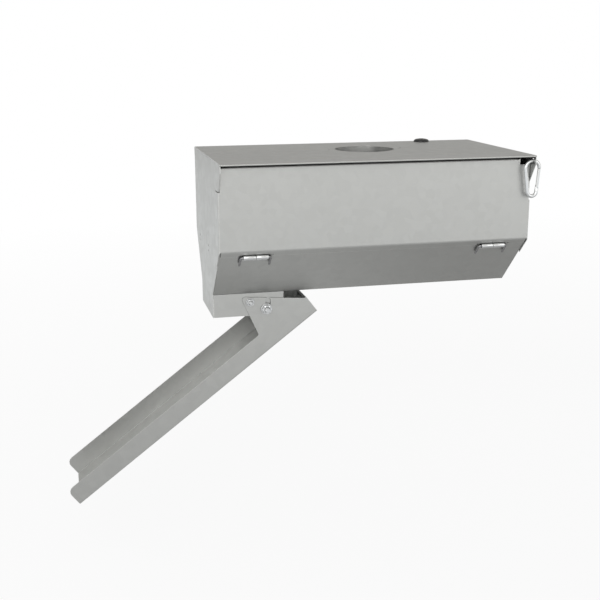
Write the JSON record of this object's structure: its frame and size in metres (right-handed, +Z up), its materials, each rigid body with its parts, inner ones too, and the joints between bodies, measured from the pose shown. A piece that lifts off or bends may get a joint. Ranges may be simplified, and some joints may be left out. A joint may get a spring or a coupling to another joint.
{
  "type": "auger feeder unit",
  "caption": "Galvanised auger feeder head for poultry: round top inlet, locked drop-down door, outlet box at the left end and tilting chute, with timer, battery and gear motor inside.",
  "frame": {"origin": "centre of the round inlet hole, on the roof's upper face", "axes": "+X along the housing away from the outlet, -Y towards the door, +Z up"},
  "size_m": [0.7241, 0.2695, 0.5415],
  "materials": {
    "galvanised_sheet": "satin galvanised sheet",
    "zinc_plate": "bright zinc plating",
    "auger_steel": "satin steel",
    "black_rubber": "semi-gloss",
    "black_plastic": "matte",
    "grey_plastic": "fine grained",
    "button_plastic": "matte",
    "screen": "gloss",
    "nylon": "waxy",
    "brass": "dull"
  },
  "bodies": {
    "housing": {"roof_panel": "galvanised_sheet", "housing_shell": "galvanised_sheet", "left_end_plate": "galvanised_sheet", "right_end_plate": "galvanised_sheet", "outlet_box": "galvanised_sheet", "deck_panel": "galvanised_sheet", "inlet_funnel": "galvanised_sheet", "auger_trough": "galvanised_sheet", "trough_end_plate": "galvanised_sheet", "auger_bush": "nylon", "motor_bulkhead": "galvanised_sheet", "gearbox": "zinc_plate", "gearbox_screw_1": "zinc_plate", "gearbox_screw_2": "zinc_plate", "gearbox_screw_3": "zinc_plate", "gearbox_screw_4": "zinc_plate", "motor_can": "auger_steel", "battery_case": "black_plastic", "battery_positive_terminal": "brass", "battery_negative_terminal": "brass", "battery_strap": "galvanised_sheet", "timer_case": "grey_plastic", "timer_screen": "screen", "timer_bracket": "galvanised_sheet", "cable_grommet": "black_rubber", "left_hinge_leaf": "zinc_plate", "left_hinge_pin": "zinc_plate", "left_hinge_rivet_1": "zinc_plate", "left_hinge_rivet_2": "zinc_plate", "right_hinge_leaf": "zinc_plate", "right_hinge_pin": "zinc_plate", "right_hinge_rivet_1": "zinc_plate", "right_hinge_rivet_2": "zinc_plate", "pivot_front_bolt": "zinc_plate", "pivot_front_nut": "zinc_plate", "pivot_front_washer": "zinc_plate", "pivot_back_bolt": "zinc_plate", "pivot_back_nut": "zinc_plate", "pivot_back_washer": "zinc_plate", "lock_front_bolt": "zinc_plate", "lock_front_nut": "zinc_plate", "lock_front_washer": "zinc_plate", "lock_back_bolt": "zinc_plate", "lock_back_nut": "zinc_plate", "lock_back_washer": "zinc_plate"},
    "door": {"door_panel": "galvanised_sheet"},
    "carabiner": {"carabiner_hook": "zinc_plate", "carabiner_gate_pin": "zinc_plate"},
    "carabiner_gate": {"carabiner_gate": "zinc_plate"},
    "chute": {"chute_channel": "galvanised_sheet"},
    "auger": {"auger_screw": "auger_steel", "drive_coupling": "zinc_plate", "coupling_pin": "zinc_plate", "gearbox_shaft": "zinc_plate"},
    "button_1": {"timer_button_1": "button_plastic"},
    "button_2": {"timer_button_2": "button_plastic"},
    "button_3": {"timer_button_3": "button_plastic"}
  },
  "joints": [
    {"name": "door_hinge", "type": "hinge", "parent": "housing", "child": "door", "pos_m": [0, -0.13424, -0.13923], "axis": [1, 0, 0], "range_deg": [0, 175]},
    {"name": "carabiner_swing", "type": "hinge", "parent": "housing", "child": "carabiner", "pos_m": [0.2204, -0.1491, -0.009], "axis": [-1, 0, 0], "range_deg": [0, 85]},
    {"name": "carabiner_gate_hinge", "type": "hinge", "parent": "carabiner", "child": "carabiner_gate", "pos_m": [0.22907, -0.1491, -0.05011], "axis": [0, -1, 0], "range_deg": [0, 12], "stiffness_Nm_per_rad": 0.02, "springref_deg": -17.19},
    {"name": "chute_tilt", "type": "hinge", "parent": "housing", "child": "chute", "pos_m": [-0.1998, 0, -0.2259], "axis": [0, 1, 0], "range_deg": [0, 28]},
    {"name": "auger_spin", "type": "hinge", "parent": "housing", "child": "auger", "pos_m": [0, 0, -0.171], "axis": [1, 0, 0], "continuous": true},
    {"name": "timer_button_1_press", "type": "slide", "parent": "housing", "child": "button_1", "axis": [0, 1, 0], "range_m": [0, 0.0015], "stiffness_N_per_m": 300, "springref_m": -0.0005},
    {"name": "timer_button_2_press", "type": "slide", "parent": "housing", "child": "button_2", "axis": [0, 1, 0], "range_m": [0, 0.0015], "stiffness_N_per_m": 300, "springref_m": -0.0005},
    {"name": "timer_button_3_press", "type": "slide", "parent": "housing", "child": "button_3", "axis": [0, 1, 0], "range_m": [0, 0.0015], "stiffness_N_per_m": 300, "springref_m": -0.0005}
  ]
}
